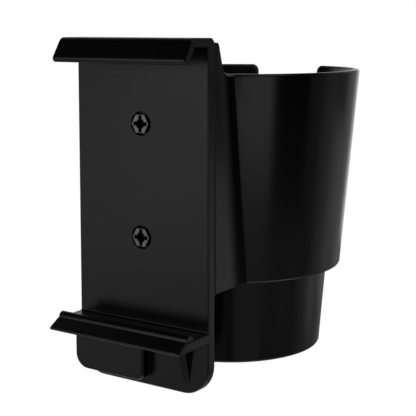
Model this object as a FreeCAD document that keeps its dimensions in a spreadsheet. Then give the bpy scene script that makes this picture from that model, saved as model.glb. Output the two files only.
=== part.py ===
import FreeCAD, Part
import math
import os
import Sketcher

# A cup holder that clips over the edge of a panel. The origin is the middle of the panel's top edge, where
# the plate's face meets the underside of the hook. +X runs along the plate, +Y from the plate to the cup and
# +Z up, so the panel lies at negative Y and everything below the hook at negative Z. Sizes are millimetres.

SIZES = {
    # the clip plate and the panel that it grips
    "plate_width": 64.0,
    "plate_thickness": 4.4,
    "panel_height": 109.0,
    "plate_tail": 21.5,
    "plate_corner": 12.0,
    "edge_bevel": 0.4,
    "seam_bevel": 0.4,
    # the hook over the panel's top edge
    "hook_roof": 3.5,
    "hook_gap": 8.4,
    "hook_mouth": 12.7,
    "hook_shoulder": 10.3,
    "hook_toe": 16.4,
    "lip_drop": 6.2,
    "hook_shoulder_round": 3.5,
    "hook_toe_round": 1.5,
    "roof_back_round": 2.5,
    # the shelf under the panel, its bead and its sloping front
    "shelf_thickness": 4.0,
    "shelf_root_round": 0.6,
    "bead_place": 11.8,
    "bead_radius": 2.15,
    "slope_start": 14.4,
    "shelf_reach": 19.3,
    "shelf_tip": 1.1,
    "tip_round": 0.55,
    # the raised block and the gusset rib below the shelf
    "block_right": 3.6,
    "block_proud": 4.5,
    "block_inset": 0.6,
    "block_foot": 2.5,
    "block_left_corner": 6.0,
    "block_right_corner": 3.5,
    "block_round": 1.0,
    "gusset_place": 21.7,
    "gusset_thickness": 3.0,
    "gusset_height": 17.0,
    "gusset_reach": 7.0,
    "gusset_neck": 3.0,
    "gusset_neck_drop": 4.0,
    "gusset_neck_round": 5.0,
    # the two screws, their holes and their inserts
    "screw_drop": 30.0,
    "screw_spacing": 45.0,
    "thread_diameter": 4.0,
    "screw_length": 8.0,
    "tip_bevel": 0.5,
    "screw_clearance": 0.5,
    "head_flats": 7.0,
    "head_height": 2.8,
    "recess_diameter": 4.2,
    "recess_foot": 1.6,
    "recess_depth": 1.4,
    "cross_span": 6.6,
    "cross_arm": 1.5,
    "cross_depth": 1.8,
    "cross_taper": 8.0,
    "counterbore_diameter": 9.4,
    "counterbore_depth": 2.3,
    "insert_diameter": 5.6,
    "insert_length": 5.0,
    "insert_hole_depth": 6.4,
    "boss_diameter": 10.0,
    # the cup
    "cup_gap": 3.5,
    "rim_drop": 10.6,
    "rim_diameter": 112.2,
    "rim_bevel": 0.7,
    "upper_height": 84.35,
    "ledge_diameter": 97.0,
    "ledge_round": 0.8,
    "socket_diameter": 85.4,
    "base_diameter": 79.6,
    "lower_height": 35.5,
    "base_round": 0.8,
    "cup_wall": 2.8,
    "cup_floor": 3.0,
    "notch_width": 33.0,
    "notch_offset": -1.3,
    "notch_depth": 62.0,
    "notch_mouth_round": 4.0,
    "notch_foot_round": 9.0,
    # the bracket between the plate and the cup
    "bracket_top": 1.7,
    "shoulder_top": 2.8,
    "shoulder_base": 6.5,
    "shoulder_round": 1.2,
    "saddle_drop": 0.4,
    "saddle_round": 6.0,
    "flange": 4.0,
    "side_wall": 3.0,
    "saddle_roof": 3.0,
    "web": 2.4,
}

HALF_WIDTH = "dim.plate_width / 2"
SHELF_UNDERSIDE = "-(dim.panel_height + dim.shelf_thickness)"
PLATE_FOOT = "-(dim.panel_height + dim.shelf_thickness + dim.plate_tail)"
SCREW_LEVELS = {"upper": "-dim.screw_drop", "lower": "-(dim.screw_drop + dim.screw_spacing)"}
RIM = "-dim.rim_drop"
LEDGE = "-(dim.rim_drop + dim.upper_height)"
BASE = "-(dim.rim_drop + dim.upper_height + dim.lower_height)"
SADDLE = "-(dim.rim_drop + dim.saddle_drop)"
CUP_AXIS = "dim.plate_thickness + dim.cup_gap + dim.rim_diameter / 2"
# how far each tapered wall of the cup leans out for each millimetre that it rises
UPPER_LEAN = "(dim.rim_diameter - dim.ledge_diameter) / 2 / dim.upper_height"
LOWER_LEAN = "(dim.socket_diameter - dim.base_diameter) / 2 / dim.lower_height"
# the bracket runs back until its sides are buried in the narrowest part of the upper cup's wall
BRACKET_END = (
    f"{CUP_AXIS} - sqrt((dim.ledge_diameter / 2 - dim.cup_wall) ^ 2 - ({HALF_WIDTH}) ^ 2)"
)

doc = FreeCAD.newDocument("cup_holder")
sheet = doc.addObject("Spreadsheet::Sheet", "dim")
for row, (alias, value) in enumerate(SIZES.items(), start=1):
    sheet.set(f"A{row}", alias)
    sheet.set(f"B{row}", str(value))
    sheet.setAlias(f"B{row}", alias)
doc.recompute()


def size(expression):
    return float(sheet.evalExpression(expression.replace("dim.", "")))


def new_body(name):
    body = doc.addObject("PartDesign::Body", name)
    body.Label = name
    return body


def origin_item(body, role):
    return next(item for item in body.Origin.OriginFeatures if item.Role == role)


# A sketch on one of the body's own planes, moved in the plane's own axes by the three expressions.
def new_sketch(body, name, role, move=("0", "0", "0")):
    sketch = body.newObject("Sketcher::SketchObject", name)
    sketch.AttachmentSupport = [(origin_item(body, role), "")]
    sketch.MapMode = "FlatFace"
    for axis, expression in zip("xyz", move):
        sketch.setExpression(f".AttachmentOffset.Base.{axis}", expression)
    return sketch


def bind(sketch, kind, *where):
    *spot, expression = where
    sketch.addConstraint(Sketcher.Constraint(kind, *spot, size(expression)))
    sketch.setExpression(f"Constraints[{sketch.ConstraintCount - 1}]", expression)


def pin_point(sketch, geometry, vertex, place):
    bind(sketch, "DistanceX", -1, 1, geometry, vertex, place[0])
    bind(sketch, "DistanceY", -1, 1, geometry, vertex, place[1])


# A closed outline through the given corners. Each corner is an X and a Y expression and, where it is
# rounded, a radius expression; a rounded corner keeps its sharp place as a construction point.
def draw_outline(sketch, corners):
    spots = [FreeCAD.Vector(size(c[0]), size(c[1]), 0) for c in corners]
    count = len(corners)
    arrive, leave, arcs = [], [], {}
    for i, corner in enumerate(corners):
        if len(corner) == 2:
            arrive.append(spots[i])
            leave.append(spots[i])
            continue
        radius = size(corner[2])
        back = (spots[i - 1] - spots[i]).normalize()
        ahead = (spots[(i + 1) % count] - spots[i]).normalize()
        half = back.getAngle(ahead) / 2
        arrive.append(spots[i] + back * (radius / math.tan(half)))
        leave.append(spots[i] + ahead * (radius / math.tan(half)))
        centre = spots[i] + (back + ahead).normalize() * (radius / math.sin(half))
        left_turn = back.cross(ahead).z < 0
        first, last = (arrive[i], leave[i]) if left_turn else (leave[i], arrive[i])
        angles = [math.atan2(p.y - centre.y, p.x - centre.x) for p in (first, last)]
        circle = Part.Circle(centre, FreeCAD.Vector(0, 0, 1), radius)
        arcs[i] = (Part.ArcOfCircle(circle, *angles), 1 if left_turn else 2)
    for i in range(count):
        sketch.addGeometry(Part.LineSegment(leave[i], arrive[(i + 1) % count]), False)
    for i, corner in enumerate(corners):
        line_in, line_out = (i - 1) % count, i
        if i not in arcs:
            sketch.addConstraint(Sketcher.Constraint("Coincident", line_in, 2, line_out, 1))
            pin_point(sketch, line_out, 1, corner)
            continue
        arc = sketch.addGeometry(arcs[i][0], False)
        near = arcs[i][1]
        point = sketch.addGeometry(Part.Point(spots[i]), True)
        pin_point(sketch, point, 1, corner)
        sketch.addConstraint(Sketcher.Constraint("PointOnObject", point, 1, line_in))
        sketch.addConstraint(Sketcher.Constraint("PointOnObject", point, 1, line_out))
        sketch.addConstraint(Sketcher.Constraint("Tangent", line_in, 2, arc, near))
        sketch.addConstraint(Sketcher.Constraint("Tangent", arc, 3 - near, line_out, 1))
        bind(sketch, "Radius", arc, corner[2])


def draw_circle(sketch, place, radius):
    centre = FreeCAD.Vector(size(place[0]), size(place[1]), 0)
    circle = sketch.addGeometry(Part.Circle(centre, FreeCAD.Vector(0, 0, 1), size(radius)), False)
    pin_point(sketch, circle, 3, place)
    bind(sketch, "Radius", circle, radius)


# Adds a feature and checks that it changed the body's volume the way its kind should.
def finish_feature(body, feature, adds):
    before = body.Tip.Shape.Volume if body.Tip and not body.Tip.Shape.isNull() else 0.0
    body.Tip = feature
    doc.recompute()
    change = feature.Shape.Volume - before
    if (change <= 0) if adds else (change >= 0):
        raise RuntimeError(f"{feature.Name} changed the volume by {change:.3f}")
    return feature


def extrude(body, kind, sketch, length=None, mode=None, reverse=False, taper=None):
    previous = body.Tip
    feature = body.newObject("PartDesign::" + kind, sketch.Name + "_" + kind.lower())
    body.Tip = previous
    feature.Profile = sketch
    if length is None:
        feature.Type = "ThroughAll"
    else:
        feature.setExpression("Length", length)
    if mode:
        feature.SideType = mode
    if taper:
        feature.setExpression("TaperAngle", taper)
    feature.Reversed = reverse
    return finish_feature(body, feature, kind == "Pad")


# Turns a sketch about one of the two axes through its own origin, the upright one unless told otherwise.
def turn(body, kind, sketch, axis="V_Axis"):
    previous = body.Tip
    feature = body.newObject("PartDesign::" + kind, sketch.Name + "_" + kind.lower())
    body.Tip = previous
    feature.Profile = sketch
    feature.ReferenceAxis = (sketch, [axis])
    feature.Angle = 360
    return finish_feature(body, feature, kind == "Revolution")


# Rounds or bevels the chosen edges: the kind is Fillet or Chamfer.
def ease_edges(body, kind, name, amount, chosen):
    base = body.Tip
    edges = [f"Edge{i}" for i, edge in enumerate(base.Shape.Edges, start=1) if chosen(edge)]
    if not edges:
        raise RuntimeError(f"{name} found no edges")
    feature = body.newObject("PartDesign::" + kind, name)
    feature.Base = (base, edges)
    feature.setExpression("Radius" if kind == "Fillet" else "Size", amount)
    body.Tip = feature
    doc.recompute()
    if not feature.isValid():
        raise RuntimeError(f"{name} failed")


def near(value, expression, slack=0.01):
    return abs(value - size(expression)) < slack


# The points of a corner eased by two flats, where a leaning wall rises from a level underside.
def eased_corner(radius, level, ease, lean):
    return [
        (f"{radius} - {ease}", level),
        (f"{radius} - 0.3 * {ease}", f"{level} + 0.3 * {ease}"),
        (f"{radius} + {lean} * {ease}", f"{level} + {ease}"),
    ]


# Tells whether a whole edge lies in one of the two side planes of the plate and bracket.
def on_side(edge):
    box = edge.BoundBox
    return box.XLength < 0.01 and near(abs(box.XMin), HALF_WIDTH)


def make_clip_plate():
    body = new_body("clip_plate")

    section = new_sketch(body, "plate_section", "YZ_Plane")
    draw_outline(
        section,
        [
            ("dim.plate_thickness", PLATE_FOOT),
            ("dim.plate_thickness", "dim.hook_roof", "dim.roof_back_round"),
            ("-dim.hook_shoulder", "dim.hook_roof", "dim.hook_shoulder_round"),
            ("-dim.hook_toe", "-dim.lip_drop", "dim.hook_toe_round"),
            ("-dim.hook_mouth", "-dim.lip_drop"),
            ("-dim.hook_gap", "0"),
            ("0", "0"),
            ("0", "-dim.panel_height", "dim.shelf_root_round"),
            ("-dim.slope_start", "-dim.panel_height"),
            ("-dim.shelf_reach", f"dim.shelf_tip + {SHELF_UNDERSIDE}", "dim.tip_round"),
            ("-dim.shelf_reach", SHELF_UNDERSIDE, "dim.tip_round"),
            ("0", SHELF_UNDERSIDE),
            ("0", PLATE_FOOT),
        ],
    )
    extrude(body, "Pad", section, "dim.plate_width", mode="Symmetric")

    def at_lower_corner(edge):
        box = edge.BoundBox
        along_y = box.XLength < 0.01 and box.ZLength < 0.01
        return along_y and near(abs(box.XMin), HALF_WIDTH) and near(box.ZMin, PLATE_FOOT)

    ease_edges(body, "Fillet", "lower_corners", "dim.plate_corner", at_lower_corner)

    def on_end_or_foot(edge):
        box = edge.BoundBox
        on_face = box.YLength < 0.01 and box.ZMax < size(SHELF_UNDERSIDE) + 0.01
        along_shelf = near(box.ZMin, SHELF_UNDERSIDE) and box.ZLength < 0.01
        return on_side(edge) or (on_face and not along_shelf)

    ease_edges(body, "Chamfer", "end_edges", "dim.edge_bevel", on_end_or_foot)

    bead = new_sketch(body, "shelf_bead", "YZ_Plane")
    draw_circle(bead, ("-dim.bead_place", "-dim.panel_height"), "dim.bead_radius")
    extrude(body, "Pad", bead, "dim.plate_width - 2 * dim.edge_bevel", mode="Symmetric")

    block = new_sketch(body, "raised_block", "XZ_Plane")
    block_foot = f"dim.block_foot + {PLATE_FOOT}"
    draw_outline(
        block,
        [
            (f"dim.block_inset - {HALF_WIDTH}", SHELF_UNDERSIDE),
            (f"dim.block_inset - {HALF_WIDTH}", block_foot, "dim.block_left_corner"),
            ("dim.block_right", block_foot, "dim.block_right_corner"),
            ("dim.block_right", SHELF_UNDERSIDE),
        ],
    )
    extrude(body, "Pad", block, "dim.block_proud")

    def round_the_block(edge):
        box = edge.BoundBox
        front = box.YLength < 0.01 and near(box.YMin, "-dim.block_proud")
        return front and box.ZMin < size(SHELF_UNDERSIDE) - 0.01

    ease_edges(body, "Fillet", "block_edges", "dim.block_round", round_the_block)

    gusset = new_sketch(body, "gusset", "YZ_Plane", ("0", "0", "dim.gusset_place"))
    neck = f"{SHELF_UNDERSIDE} - dim.gusset_neck_drop"
    draw_outline(
        gusset,
        [
            ("0", SHELF_UNDERSIDE),
            ("-dim.gusset_reach", SHELF_UNDERSIDE),
            ("-dim.gusset_neck", neck, "dim.gusset_neck_round"),
            ("0", f"{SHELF_UNDERSIDE} - dim.gusset_height"),
        ],
    )
    extrude(body, "Pad", gusset, "dim.gusset_thickness", mode="Symmetric")

    through = new_sketch(body, "screw_clearance_holes", "XZ_Plane")
    sunk = new_sketch(body, "counterbores", "XZ_Plane")
    for level in SCREW_LEVELS.values():
        draw_circle(through, ("0", level), "(dim.thread_diameter + dim.screw_clearance) / 2")
        draw_circle(sunk, ("0", level), "dim.counterbore_diameter / 2")
    extrude(body, "Pocket", through, "dim.plate_thickness")
    extrude(body, "Pocket", sunk, "dim.counterbore_depth")
    return body


def make_cup_body():
    body = new_body("cup_body")

    # the bracket's side view, solid at first
    block = new_sketch(body, "bracket_profile", "YZ_Plane")
    draw_outline(
        block,
        [
            ("dim.plate_thickness", LEDGE),
            (BRACKET_END, LEDGE),
            (BRACKET_END, SADDLE),
            ("dim.plate_thickness + dim.shoulder_base", SADDLE, "dim.saddle_round"),
            ("dim.plate_thickness + dim.shoulder_top", "dim.bracket_top", "dim.shoulder_round"),
            ("dim.plate_thickness + dim.seam_bevel", "dim.bracket_top"),
            ("dim.plate_thickness", "dim.bracket_top - dim.seam_bevel"),
        ],
    )
    extrude(body, "Pad", block, "dim.plate_width", mode="Symmetric")

    def under_side(edge):
        box = edge.BoundBox
        return on_side(edge) and near(box.ZMax, LEDGE) and box.YLength > 1

    ease_edges(body, "Fillet", "bracket_foot_edges", "dim.ledge_round", under_side)

    def along_seam_or_top(edge):
        box = edge.BoundBox
        return on_side(edge) and not near(box.YMin, BRACKET_END)

    ease_edges(body, "Chamfer", "bracket_side_edges", "dim.seam_bevel", along_seam_or_top)

    # the hollow behind the flange, open at the bottom
    flange_back = "dim.plate_thickness + dim.flange"
    cell_side = f"{HALF_WIDTH} - dim.side_wall"
    cell_end = f"{BRACKET_END} + dim.cup_wall"
    hollow = new_sketch(body, "bracket_hollow", "XY_Plane", ("0", "0", LEDGE))
    draw_outline(
        hollow,
        [
            (f"-({cell_side})", flange_back),
            (cell_side, flange_back),
            (cell_side, cell_end),
            (f"-({cell_side})", cell_end),
        ],
    )
    hollow_height = "dim.upper_height - dim.saddle_drop - dim.saddle_roof"
    extrude(body, "Pocket", hollow, hollow_height, reverse=True)

    # the web that ties the two screw bosses, and the bosses, all buried in the cup's wall behind
    to_axis = f"{CUP_AXIS} - {flange_back}"
    web = new_sketch(body, "boss_web", "XZ_Plane", ("0", "0", f"-({flange_back})"))
    draw_outline(
        web,
        [
            ("-dim.web / 2", LEDGE),
            ("dim.web / 2", LEDGE),
            ("dim.web / 2", f"{SADDLE} - dim.saddle_roof"),
            ("-dim.web / 2", f"{SADDLE} - dim.saddle_roof"),
        ],
    )
    extrude(body, "Pad", web, to_axis, reverse=True)
    bosses = new_sketch(body, "screw_bosses", "XZ_Plane", ("0", "0", f"-({flange_back})"))
    for level in SCREW_LEVELS.values():
        draw_circle(bosses, ("0", level), "dim.boss_diameter / 2")
    extrude(body, "Pad", bosses, to_axis, reverse=True)

    # what stands inside the middle of the cup's wall is cleared, on up past the bracket's top, before the
    # wall is turned over it, so the rim's inner half runs on in front of the bracket
    bowl = new_sketch(body, "bowl_clearance", "YZ_Plane", (CUP_AXIS, "0", "0"))
    over = "dim.bracket_top + dim.cup_floor"
    draw_outline(
        bowl,
        [
            ("0", f"{LEDGE} - dim.cup_floor"),
            ("(dim.ledge_diameter - dim.cup_wall) / 2", f"{LEDGE} - dim.cup_floor"),
            ("(dim.ledge_diameter - dim.cup_wall) / 2", LEDGE),
            (f"(dim.rim_diameter - dim.cup_wall) / 2 + {UPPER_LEAN} * ({over} + dim.rim_drop)", over),
            ("0", over),
        ],
    )
    turn(body, "Groove", bowl)
    wall = new_sketch(body, "cup_section", "YZ_Plane", (CUP_AXIS, "0", "0"))
    below_rim = f"{RIM} - dim.rim_bevel"
    draw_outline(
        wall,
        [
            ("0", BASE),
            *eased_corner("dim.base_diameter / 2", BASE, "dim.base_round", LOWER_LEAN),
            ("dim.socket_diameter / 2", LEDGE),
            *eased_corner("dim.ledge_diameter / 2", LEDGE, "dim.ledge_round", UPPER_LEAN),
            (f"dim.rim_diameter / 2 - {UPPER_LEAN} * dim.rim_bevel", below_rim),
            ("dim.rim_diameter / 2 - dim.rim_bevel", RIM),
            ("dim.rim_diameter / 2 - dim.cup_wall + dim.rim_bevel", RIM),
            (f"dim.rim_diameter / 2 - dim.cup_wall - {UPPER_LEAN} * dim.rim_bevel", below_rim),
            ("dim.ledge_diameter / 2 - dim.cup_wall", f"{LEDGE} + dim.cup_floor"),
            ("dim.socket_diameter / 2 - dim.cup_wall", f"{LEDGE} + dim.cup_floor"),
            ("dim.base_diameter / 2 - dim.cup_wall", f"{BASE} + dim.cup_floor"),
            ("0", f"{BASE} + dim.cup_floor"),
        ],
    )
    turn(body, "Revolution", wall)

    # the slot for a mug's handle, opposite the plate, flared where it meets the rim
    notch = new_sketch(body, "handle_notch", "XZ_Plane", ("0", "0", f"-({CUP_AXIS})"))
    left = "dim.notch_offset - dim.notch_width / 2"
    right = "dim.notch_offset + dim.notch_width / 2"
    above = f"{RIM} + dim.notch_mouth_round / 4"
    foot = f"{RIM} - dim.notch_depth"
    draw_outline(
        notch,
        [
            (left, foot, "dim.notch_foot_round"),
            (right, foot, "dim.notch_foot_round"),
            (right, RIM, "dim.notch_mouth_round"),
            (f"{right} + 2 * dim.notch_mouth_round", above),
            (f"{left} - 2 * dim.notch_mouth_round", above),
            (left, RIM, "dim.notch_mouth_round"),
        ],
    )
    extrude(body, "Pocket", notch, "dim.rim_diameter")

    holes = new_sketch(body, "insert_holes", "XZ_Plane", ("0", "0", "-dim.plate_thickness"))
    for level in SCREW_LEVELS.values():
        draw_circle(holes, ("0", level), "dim.insert_diameter / 2")
    extrude(body, "Pocket", holes, "dim.insert_hole_depth")
    return body


# An M4 hexagon head screw, its head sunk in a counterbore and standing slightly proud of the plate.
def make_screw(name, level):
    body = new_body(name)
    seat = "dim.counterbore_depth"
    front = "dim.counterbore_depth - dim.head_height"
    corner = "dim.head_flats / sqrt(3)"
    hexagon = new_sketch(body, f"{name}_hexagon", "XZ_Plane", ("0", level, f"-({seat})"))
    turns = [(math.cos(k * math.pi / 3), math.sin(k * math.pi / 3)) for k in range(6)]
    draw_outline(hexagon, [(f"{corner} * {c:.9f}", f"{corner} * {s:.9f}") for c, s in turns])
    extrude(body, "Pad", hexagon, "dim.head_height")

    shank = new_sketch(body, f"{name}_shank", "YZ_Plane", ("0", level, "0"))
    tip = f"{seat} + dim.screw_length"
    radius = "dim.thread_diameter / 2"
    draw_outline(
        shank,
        [
            (seat, "0"),
            (tip, "0"),
            (tip, f"{radius} - dim.tip_bevel"),
            (f"{tip} - dim.tip_bevel", radius),
            (seat, radius),
        ],
    )
    turn(body, "Revolution", shank, "H_Axis")

    recess = new_sketch(body, f"{name}_recess", "YZ_Plane", ("0", level, "0"))
    draw_outline(
        recess,
        [
            (front, "0"),
            (f"{front} + dim.recess_depth", "0"),
            (f"{front} + dim.recess_depth", "dim.recess_foot / 2"),
            (front, "dim.recess_diameter / 2"),
        ],
    )
    turn(body, "Groove", recess, "H_Axis")

    cross = new_sketch(body, f"{name}_cross", "XZ_Plane", ("0", level, f"-({front})"))
    near_x, far_x = "dim.cross_arm / 2", "dim.cross_span / 2"
    quarter = [(far_x, f"-{near_x}"), (far_x, near_x), (near_x, near_x)]
    corners = []
    for _ in range(4):
        corners += quarter
        quarter = [(f"-({y})", x) for x, y in quarter]
    draw_outline(cross, corners)
    extrude(body, "Pocket", cross, "dim.cross_depth", taper="-dim.cross_taper")
    return body


# A threaded insert pressed into a boss, flush with the bracket's face.
def make_insert(name, level):
    body = new_body(name)
    ring = new_sketch(body, f"{name}_ring", "YZ_Plane", ("0", level, "0"))
    start = "dim.plate_thickness"
    end = "dim.plate_thickness + dim.insert_length"
    outer = "dim.insert_diameter / 2"
    bore = "dim.thread_diameter / 2"
    draw_outline(
        ring,
        [
            (start, bore),
            (end, bore),
            (end, outer),
            (start, outer),
        ],
    )
    turn(body, "Revolution", ring, "H_Axis")
    return body


def check_model(bodies):
    doc.recompute()
    for item in doc.Objects:
        if "Invalid" in item.State or "Error" in item.State:
            raise RuntimeError(f"{item.Name} is {item.State}")
    for body in bodies:
        if body.Shape.isNull() or not body.Shape.isValid() or len(body.Shape.Solids) != 1:
            raise RuntimeError(f"{body.Label} has no single valid solid")


bodies = [make_clip_plate(), make_cup_body()]
for place, level in SCREW_LEVELS.items():
    bodies.append(make_screw(f"{place}_screw", level))
    bodies.append(make_insert(f"{place}_insert", level))
check_model(bodies)
os.makedirs("parts", exist_ok=True)
for body in bodies:
    body.Shape.exportStep(f"parts/{body.Label}.step")
    print(body.Label, round(body.Shape.Volume, 1), "cubic mm")
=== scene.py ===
import math

import bpy
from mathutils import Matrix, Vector

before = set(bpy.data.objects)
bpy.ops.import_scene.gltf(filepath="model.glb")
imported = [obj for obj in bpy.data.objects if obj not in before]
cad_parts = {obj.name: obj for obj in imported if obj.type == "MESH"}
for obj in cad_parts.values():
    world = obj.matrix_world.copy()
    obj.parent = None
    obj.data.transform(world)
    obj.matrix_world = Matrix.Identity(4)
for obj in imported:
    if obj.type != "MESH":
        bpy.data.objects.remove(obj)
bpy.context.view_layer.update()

mm = 0.001
print("frame loaded:", ", ".join(sorted(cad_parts)))


def linearColour(hexCode):
    channels = [int(hexCode[i:i + 2], 16) / 255 for i in (1, 3, 5)]
    return [c / 12.92 if c <= 0.04045 else ((c + 0.055) / 1.055) ** 2.4 for c in channels] + [1.0]


# Adds one node. In links a socket is joined and anything else becomes the input's own value.
def addNode(tree, kind, links=None, **settings):
    node = tree.nodes.new(kind)
    for name, value in settings.items():
        setattr(node, name, value)
    for key, value in (links or {}).items():
        if isinstance(value, bpy.types.NodeSocket):
            tree.links.new(value, node.inputs[key])
        else:
            node.inputs[key].default_value = value
    return node


def newMaterial(name):
    material = bpy.data.materials.new(name)
    material.use_nodes = True
    material.node_tree.nodes.clear()
    return material, material.node_tree


def perMillimetre(size):  # a noise scale that repeats about once in this many millimetres
    return 1 / (size * mm)


noiseSpan = {"From Min": 0.3, "From Max": 0.7}  # most of a noise's values lie between these


# The bracket's flat sides run into the cup by a soft radius, which the light shows as a dark band before the
# cup. Near the cup the normal leans towards the cup's own.
def softCrease(tree, place, normal, look):
    part = addNode(tree, "ShaderNodeSeparateXYZ", {0: place})
    fromAxis = addNode(tree, "ShaderNodeVectorMath", {
        0: place, 1: (0.0, look["cupAxis"] * mm, 0.0)}, operation="SUBTRACT")
    level = addNode(tree, "ShaderNodeVectorMath", {
        0: fromAxis.outputs["Vector"], 1: (1.0, 1.0, 0.0)}, operation="MULTIPLY")
    distance = addNode(tree, "ShaderNodeVectorMath", {0: level.outputs["Vector"]}, operation="LENGTH")
    outward = addNode(tree, "ShaderNodeVectorMath", {0: level.outputs["Vector"]}, operation="NORMALIZE")
    radius = addNode(tree, "ShaderNodeMath", {
        0: part.outputs["Z"], 1: look["cupLean"], 2: look["cupRadius"] * mm}, operation="MULTIPLY_ADD")
    gap = addNode(tree, "ShaderNodeMath", {
        0: distance.outputs["Value"], 1: radius.outputs["Value"]}, operation="SUBTRACT")
    near = addNode(tree, "ShaderNodeMapRange", {
        "Value": gap.outputs["Value"], "From Min": look["creaseWidth"] * mm, "From Max": 0.0,
        "To Max": look["creaseTurn"]}, interpolation_type="SMOOTHSTEP")
    geometry = addNode(tree, "ShaderNodeNewGeometry")
    facing = addNode(tree, "ShaderNodeSeparateXYZ", {0: geometry.outputs["True Normal"]})
    sideways = addNode(tree, "ShaderNodeMath", {0: facing.outputs["X"]}, operation="ABSOLUTE")
    flatSide = addNode(tree, "ShaderNodeMath", {
        0: sideways.outputs["Value"], 1: look["sidewaysShare"]}, operation="GREATER_THAN")
    bracket = addNode(tree, "ShaderNodeMath", {
        0: part.outputs["Y"], 1: look["bracketEnd"] * mm}, operation="LESS_THAN")
    onBracket = addNode(tree, "ShaderNodeMath", {
        0: flatSide.outputs["Value"], 1: bracket.outputs["Value"]}, operation="MULTIPLY")
    share = addNode(tree, "ShaderNodeMath", {
        0: onBracket.outputs["Value"], 1: near.outputs["Result"]}, operation="MULTIPLY")
    lean = addNode(tree, "ShaderNodeMix", {
        "Factor": share.outputs["Value"], "A": normal, "B": outward.outputs["Vector"]}, data_type="VECTOR")
    unit = addNode(tree, "ShaderNodeVectorMath", {0: lean.outputs["Result"]}, operation="NORMALIZE")
    return unit.outputs["Vector"]


# Black polypropylene, injection moulded. The tool's spark-eroded grain breaks the gloss into a soft satin,
# and flow in the mould leaves broad faint changes of sheen.
def mouldedPolypropylene(name, look):
    material, tree = newMaterial(name)
    place = addNode(tree, "ShaderNodeTexCoord").outputs["Object"]
    flow = addNode(tree, "ShaderNodeTexNoise", {
        "Vector": place, "Scale": perMillimetre(look["flowSize"]), "Detail": 3.0, "Roughness": 0.5})
    grain = addNode(tree, "ShaderNodeTexNoise", {
        "Vector": place, "Scale": perMillimetre(look["grainSize"]), "Detail": 2.0, "Roughness": 0.6})
    tint = addNode(tree, "ShaderNodeMix", {
        "Factor": flow.outputs["Fac"], "A": linearColour(look["colour"]),
        "B": linearColour(look["flowColour"])}, data_type="RGBA")
    mottle = addNode(tree, "ShaderNodeMapRange", {
        **noiseSpan, "Value": flow.outputs["Fac"],
        "To Min": look["roughness"] - look["flowSheen"], "To Max": look["roughness"] + look["flowSheen"]})
    sparkle = addNode(tree, "ShaderNodeMath", {
        0: grain.outputs["Fac"], 1: look["grainSheen"],
        2: mottle.outputs["Result"]}, operation="MULTIPLY_ADD")
    softEdge = addNode(tree, "ShaderNodeBevel", {"Radius": look["edgeRadius"] * mm}, samples=6)
    normal = softEdge.outputs["Normal"]
    if "creaseWidth" in look:
        normal = softCrease(tree, place, normal, look)
    bump = addNode(tree, "ShaderNodeBump", {
        "Height": grain.outputs["Fac"], "Distance": look["grainDepth"] * mm, "Normal": normal})
    surface = addNode(tree, "ShaderNodeBsdfPrincipled", {
        "Base Color": tint.outputs["Result"], "Roughness": sparkle.outputs["Value"], "IOR": look["ior"],
        "Specular IOR Level": look["gloss"], "Normal": bump.outputs["Normal"]})
    addNode(tree, "ShaderNodeOutputMaterial", {"Surface": surface.outputs["BSDF"]})
    return material


plateLook = {
    "colour": "#020202",
    "flowColour": "#040404",
    "roughness": 0.22,
    "flowSize": 26.0,  # millimetres from one faint patch to the next
    "flowSheen": 0.02,
    "grainSize": 0.8,  # the real grain is about 0.1 mm, too fine to show, so it is drawn coarser
    "grainDepth": 0.036,
    "grainSheen": 0.08,
    "edgeRadius": 0.5,
    "ior": 1.49,
    "gloss": 0.3,
}
cupLook = {
    "colour": "#020202",
    "flowColour": "#030303",
    "roughness": 0.19,
    "flowSize": 40.0,
    "flowSheen": 0.02,
    "grainSize": 0.45,
    "grainDepth": 0.003,
    "grainSheen": 0.03,
    "edgeRadius": 0.7,
    "creaseWidth": 10.0,
    "creaseTurn": 0.6,
    "cupAxis": 64.0,  # the cup's axis, its radius at the part's origin and its lean, as in the CAD
    "cupRadius": 57.06,
    "cupLean": 0.0901,
    "sidewaysShare": 0.98,  # how squarely a face looks sideways, to count as the bracket's side
    "bracketEnd": 50.0,
    "ior": 1.49,
    "gloss": 0.3,
}
screwLook = {
    "colour": "#6e6f71",
    "patchColour": "#606163",
    # painted shade: from these depths behind the head's face, the cross recess and the flanks are coloured
    # near black
    "paintedRecessShade": "#060606",
    "recessStart": -0.42,  # the head's face is at -0.5 mm
    "recessEnd": -0.2,
    "roughness": 0.34,
    "shinier": 0.05,  # how far the patches stray from that roughness
    "duller": 0.07,
    "patchSize": 1.6,
    "scratchSize": 0.12,
    "scratchDepth": 0.004,
    "edgeRadius": 0.12,
}
insertLook = {
    "colour": "#b8955a",
    "patchColour": "#a5834b",
    "roughness": 0.3,
    "shinier": 0.05,
    "duller": 0.07,
    "patchSize": 1.2,
    "scratchSize": 0.15,
    "scratchDepth": 0.004,
    "edgeRadius": 0.1,
}
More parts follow.
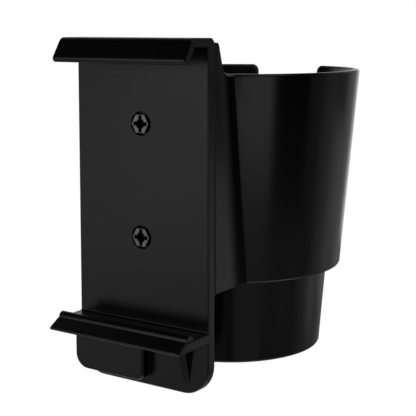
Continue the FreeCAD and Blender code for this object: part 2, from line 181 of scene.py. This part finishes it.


# Turned or headed metal: a faintly mottled skin with fine tool marks. Where the look asks for it, the head's
# flanks and the cross recess, deeper behind the face, are painted near black as shade; the face keeps the
# grey.
def workedMetal(name, look):
    material, tree = newMaterial(name)
    place = addNode(tree, "ShaderNodeTexCoord").outputs["Object"]
    patches = addNode(tree, "ShaderNodeTexNoise", {
        "Vector": place, "Scale": perMillimetre(look["patchSize"]), "Detail": 4.0})
    scratches = addNode(tree, "ShaderNodeTexNoise", {
        "Vector": place, "Scale": perMillimetre(look["scratchSize"]), "Detail": 2.0})
    tint = addNode(tree, "ShaderNodeMix", {
        "Factor": patches.outputs["Fac"], "A": linearColour(look["colour"]),
        "B": linearColour(look["patchColour"])}, data_type="RGBA")
    # painted shade: past a depth behind the head's face the colour turns near black, standing in for shade in
    # the recess
    if "paintedRecessShade" in look:
        depth = addNode(tree, "ShaderNodeSeparateXYZ", {0: place})
        paintedShadeShare = addNode(tree, "ShaderNodeMapRange", {
            "Value": depth.outputs["Y"], "From Min": look["recessStart"] * mm,
            "From Max": look["recessEnd"] * mm})
        tint = addNode(tree, "ShaderNodeMix", {
            "Factor": paintedShadeShare.outputs["Result"], "A": tint.outputs["Result"],
            "B": linearColour(look["paintedRecessShade"])}, data_type="RGBA")
    sheen = addNode(tree, "ShaderNodeMapRange", {
        **noiseSpan, "Value": patches.outputs["Fac"],
        "To Min": look["roughness"] - look["shinier"], "To Max": look["roughness"] + look["duller"]})
    softEdge = addNode(tree, "ShaderNodeBevel", {"Radius": look["edgeRadius"] * mm}, samples=4)
    bump = addNode(tree, "ShaderNodeBump", {
        "Height": scratches.outputs["Fac"], "Distance": look["scratchDepth"] * mm,
        "Normal": softEdge.outputs["Normal"]})
    surface = addNode(tree, "ShaderNodeBsdfPrincipled", {
        "Base Color": tint.outputs["Result"], "Metallic": 1.0, "Roughness": sheen.outputs["Result"],
        "Normal": bump.outputs["Normal"]})
    addNode(tree, "ShaderNodeOutputMaterial", {"Surface": surface.outputs["BSDF"]})
    return material


def dress(nodeName, material):
    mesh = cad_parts[nodeName].data
    mesh.materials.clear()
    mesh.materials.append(material)


dress("clip_plate", mouldedPolypropylene("grained moulded polypropylene", plateLook))
dress("cup_body", mouldedPolypropylene("satin moulded polypropylene", cupLook))
# the screws' cross recess and head flanks carry painted shade
zincPlated = workedMetal("zinc-plated steel with painted recess shade", screwLook)
turnedBrass = workedMetal("turned brass", insertLook)
for level in ("upper", "lower"):
    dress(level + "_screw", zincPlated)
    dress(level + "_insert", turnedBrass)
print("materials made")

# The camera looks level across the clip's front corner in the photograph. Most of the framing is a tilt,
# and the rest is a small shift.
cameraView = {
    "place": (253.54, -326.05, 7.94),
    "turn": 34.226,
    "tilt": 6.44,
    "lens": 91.851,
    "sensor": 36.0,
    "shift": -0.15,
    "nearest": 10.0,
    "farthest": 20000.0,
}
cameraData = bpy.data.cameras.new("camera")
cameraData.lens = cameraView["lens"]
cameraData.sensor_width = cameraView["sensor"]
cameraData.shift_y = cameraView["shift"]
camera = bpy.data.objects.new("camera", cameraData)
camera.location = Vector(cameraView["place"]) * mm
camera.rotation_euler = (math.radians(90 - cameraView["tilt"]), 0, math.radians(cameraView["turn"]))
cameraData.clip_start = cameraView["nearest"] * mm
cameraData.clip_end = cameraView["farthest"] * mm
bpy.context.scene.collection.objects.link(camera)
bpy.context.scene.camera = camera
bpy.context.scene.view_settings.view_transform = "Standard"
print("camera placed")

# A part hung up in a white studio. The walls and floor are white wherever the camera or a reflection meets
# them, and cards that only reflections see stand round the part, as black and grey boards do in a studio.
studio = {
    "white": "#ffffff",
    "fillStrength": 0.42,  # the room's own light on the part
    "middle": (0.0, 50.0, -65.0),  # the middle of the part, which the boards and lamps stand round
    "floorLevel": -800.0,
    "floorReach": 4000.0,
    "floorPaint": "#e6e6e6",
    "shadowShare": 0.12,  # how much of the floor is lit paint, which keeps the part's shadow
    "floorGlow": 1.09,  # makes up for the lit paint, so that the open floor comes to white
    "cardRing": 600.0,
    "cardStep": 6.0,  # degrees from one fold of a curved board to the next
    "roofShare": 1.01,  # the ceiling's height and half width, as a share of the ring's radius
    # azimuth from the plate's front towards the right, elevation from the part, and brightness
    "cards": {
        "frontBoard": ((-8, 32), (-52, 45), 0.16),
        "frontEdge": ((32, 42), (-15, 45), 0.02),
        "frontHem": ((32, 38), (-52, -15), 0.02),
        "rightHood": ((42, 71), (5, 45), 0.0),
        "rightApron": ((38, 71), (-52, -15), 0.33),
        "rightFlag": ((71, 106), (-9, 45), 0.0),
        "rightSkirt": ((71, 106), (-18, -9), 0.06),
        "rightHem": ((71, 106), (-27, -18), 0.24),
        "rightFold": ((106, 122), (-27, 45), 0.16),
        "rightFoot": ((71, 122), (-52, -27), 0.16),
        "sideBoard": ((122, 138), (-6, 45), 0.25),
        "sideRise": ((122, 138), (-24, -6), 0.32),
        "sideFold": ((138, 158), (-6, 45), 0.13),
        "sideApron": ((138, 158), (-16, -6), 0.46),
        "sideHem": ((138, 150), (-24, -16), 0.5),
        "endHem": ((150, 158), (-24, -16), 0.28),
        "sideFoot": ((122, 158), (-52, -24), 0.2),
        "endBoard": ((158, 180), (-20, 45), 0.33),
        "endFoot": ((158, 180), (-52, -20), 0.16),
        "backHood": ((180, 240), (13, 45), 0.3),
        "wingHood": ((240, 270), (13, 45), 0.12),
        "backFoot": ((180, 270), (-52, -14), 0.2),
        "leftBoard": ((-90, -62), (-52, 45), 0.02),
        "leftHood": ((-62, -44), (22, 45), 0.0),
        "frontHood": ((-44, -8), (22, 45), 0.2),
        "leftScreen": ((-62, -34), (5, 22), 0.45),
        "frontScreen": ((-34, -8), (5, 22), 1.7),
        "leftVeil": ((-62, -40), (-13, 5), 0.62),
        "leftApron": ((-62, -8), (-26, -13), 0.55),
        "leftFoot": ((-62, -8), (-52, -26), 0.24),
    },
    # boards overhead that leave an opening above the part: across and along, as shares of the room, and level
    "ceilings": {
        "frontCeiling": ((-1.0, 1.0), (-1.0, -0.04), 0.0),
        "backCeiling": ((-1.0, 1.0), (0.3, 1.0), 0.0),
        "leftCeiling": ((-1.0, -0.25), (-0.05, 0.3), 0.05),
    },
    "lamps": {
        "keyLamp": ((-620.0, -760.0, 640.0), 500.0, 8.0),
        "fillLamp": ((760.0, -420.0, 300.0), 600.0, 4.6),
        "backLamp": ((260.0, 900.0, 620.0), 600.0, 6.4),
    },
}
middle = Vector(studio["middle"]) * mm


def whiteToTheEye(tree, level, otherwise):  # the two shaders, by whether the ray is one that is looked along
    rays = addNode(tree, "ShaderNodeLightPath")
    looks = addNode(tree, "ShaderNodeMath", {
        0: rays.outputs["Is Camera Ray"], 1: rays.outputs["Is Glossy Ray"]}, operation="MAXIMUM")
    looks = addNode(tree, "ShaderNodeMath", {
        0: looks.outputs["Value"], 1: rays.outputs["Is Transmission Ray"]}, operation="MAXIMUM")
    return addNode(tree, "ShaderNodeMixShader", {0: looks.outputs["Value"], 1: otherwise, 2: level})


world = bpy.data.worlds.new("studio")
world.use_nodes = True
bpy.context.scene.world = world
tree = world.node_tree
tree.nodes.clear()
walls = addNode(tree, "ShaderNodeBackground", {"Color": linearColour(studio["white"]), "Strength": 1.0})
fill = addNode(tree, "ShaderNodeBackground", {
    "Color": linearColour(studio["white"]), "Strength": studio["fillStrength"]})
seen = whiteToTheEye(tree, walls.outputs["Background"], fill.outputs["Background"])
addNode(tree, "ShaderNodeOutputWorld", {"Surface": seen.outputs["Shader"]})


def addStageMesh(name, points, faces, material):
    mesh = bpy.data.meshes.new(name)
    mesh.from_pydata(points, [], faces)
    mesh.materials.append(material)
    thing = bpy.data.objects.new(name, mesh)
    bpy.context.scene.collection.objects.link(thing)
    return thing


floorPaint, tree = newMaterial("matt white floor paint")
paint = addNode(tree, "ShaderNodeBsdfDiffuse", {"Color": linearColour(studio["floorPaint"])})
glow = addNode(tree, "ShaderNodeEmission", {
    "Color": linearColour(studio["white"]), "Strength": studio["floorGlow"]})
lit = addNode(tree, "ShaderNodeMixShader", {
    0: studio["shadowShare"], 1: glow.outputs["Emission"], 2: paint.outputs["BSDF"]})
seen = whiteToTheEye(tree, lit.outputs["Shader"], paint.outputs["BSDF"])
addNode(tree, "ShaderNodeOutputMaterial", {"Surface": seen.outputs["Shader"]})
floorHeight = studio["floorLevel"] * mm
reach = studio["floorReach"] * mm
floorCorners = [(x * reach, y * reach, floorHeight) for x, y in ((-1, -1), (1, -1), (1, 1), (-1, 1))]
addStageMesh("floor", floorCorners, [(0, 1, 2, 3)], floorPaint)


def cardMaterial(name, level):
    material, tree = newMaterial(name)
    board = addNode(tree, "ShaderNodeEmission", {"Color": (level, level, level, 1.0), "Strength": 1.0})
    addNode(tree, "ShaderNodeOutputMaterial", {"Surface": board.outputs["Emission"]})
    return material


def hideFromLight(card):  # a card shows in reflections and nowhere else
    card.visible_camera = card.visible_diffuse = card.visible_shadow = False


ring = studio["cardRing"] * mm
for name, (turns, rises, level) in studio["cards"].items():
    count = max(2, round((turns[1] - turns[0]) / studio["cardStep"]) + 1)
    points = []
    for i in range(count):
        angle = math.radians(turns[0] + (turns[1] - turns[0]) * i / (count - 1))
        for rise in rises:  # no lower than just above the floor
            height = max(ring * math.tan(math.radians(rise)), floorHeight - middle.z + mm)
            points.append(middle + Vector((ring * math.sin(angle), -ring * math.cos(angle), height)))
    faces = [(2 * i, 2 * i + 2, 2 * i + 3, 2 * i + 1) for i in range(count - 1)]
    hideFromLight(addStageMesh(name, points, faces, cardMaterial(name + "Board", level)))
roof = ring * studio["roofShare"]
for name, (across, along, level) in studio["ceilings"].items():
    corners = [(across[0], along[0]), (across[1], along[0]), (across[1], along[1]), (across[0], along[1])]
    points = [middle + Vector((x * roof, y * roof, roof)) for x, y in corners]
    hideFromLight(addStageMesh(name, points, [(0, 1, 2, 3)], cardMaterial(name + "Board", level)))

for name, (place, width, power) in studio["lamps"].items():
    lampData = bpy.data.lights.new(name, "AREA")
    lampData.shape = "DISK"
    lampData.size = width * mm
    lampData.energy = power
    lamp = bpy.data.objects.new(name, lampData)
    lamp.location = Vector(place) * mm
    lamp.rotation_euler = (middle - lamp.location).to_track_quat("-Z", "Y").to_euler()
    lamp.visible_glossy = False
    bpy.context.scene.collection.objects.link(lamp)
print("studio lit")
